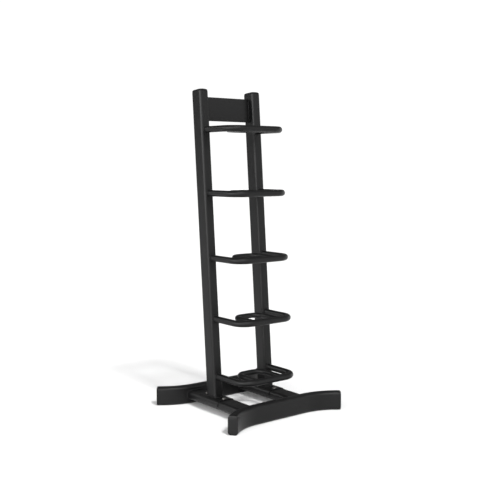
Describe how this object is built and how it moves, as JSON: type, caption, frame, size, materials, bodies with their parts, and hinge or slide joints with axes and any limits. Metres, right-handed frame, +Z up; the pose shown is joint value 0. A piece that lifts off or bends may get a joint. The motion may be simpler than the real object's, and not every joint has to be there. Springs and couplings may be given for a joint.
{
  "type": "ball rack",
  "caption": "Free-standing gym rack: open ball cradles of bent round tube, one above the other, on two raked uprights with a bowed foot in front and behind.",
  "frame": {"origin": "on the floor, in the middle of the base", "axes": "+X to the rack's right, -Y towards its front where the cradles open, +Z up"},
  "size_m": [0.6324, 0.6012, 1.4242],
  "materials": {
    "powder_coat": "satin black powder coat",
    "cap_plastic": "moulded black plastic",
    "black_zinc": "black zinc plate"
  },
  "bodies": {
    "root": {"front_foot": "powder_coat", "rear_foot": "powder_coat", "left_crossbar": "powder_coat", "left_saddle": "powder_coat", "left_upright": "powder_coat", "right_crossbar": "powder_coat", "right_saddle": "powder_coat", "right_upright": "powder_coat", "header_plate": "powder_coat", "tier1_hoop": "powder_coat", "tier1_inner_hoop": "powder_coat", "tier2_hoop": "powder_coat", "tier2_inner_hoop": "powder_coat", "tier3_hoop": "powder_coat", "tier3_inner_hoop": "powder_coat", "tier4_hoop": "powder_coat", "tier4_inner_hoop": "powder_coat", "tier5_hoop": "powder_coat", "tier5_inner_hoop": "powder_coat", "front_foot_cap_left": "cap_plastic", "front_foot_cap_right": "cap_plastic", "rear_foot_cap_left": "cap_plastic", "rear_foot_cap_right": "cap_plastic", "left_upright_cap": "cap_plastic", "right_upright_cap": "cap_plastic", "left_front_bolt": "black_zinc", "left_front_washer": "black_zinc", "left_front_nut": "black_zinc", "left_rear_bolt": "black_zinc", "left_rear_washer": "black_zinc", "left_rear_nut": "black_zinc", "right_front_bolt": "black_zinc", "right_front_washer": "black_zinc", "right_front_nut": "black_zinc", "right_rear_bolt": "black_zinc", "right_rear_washer": "black_zinc", "right_rear_nut": "black_zinc"}
  },
  "joints": []
}
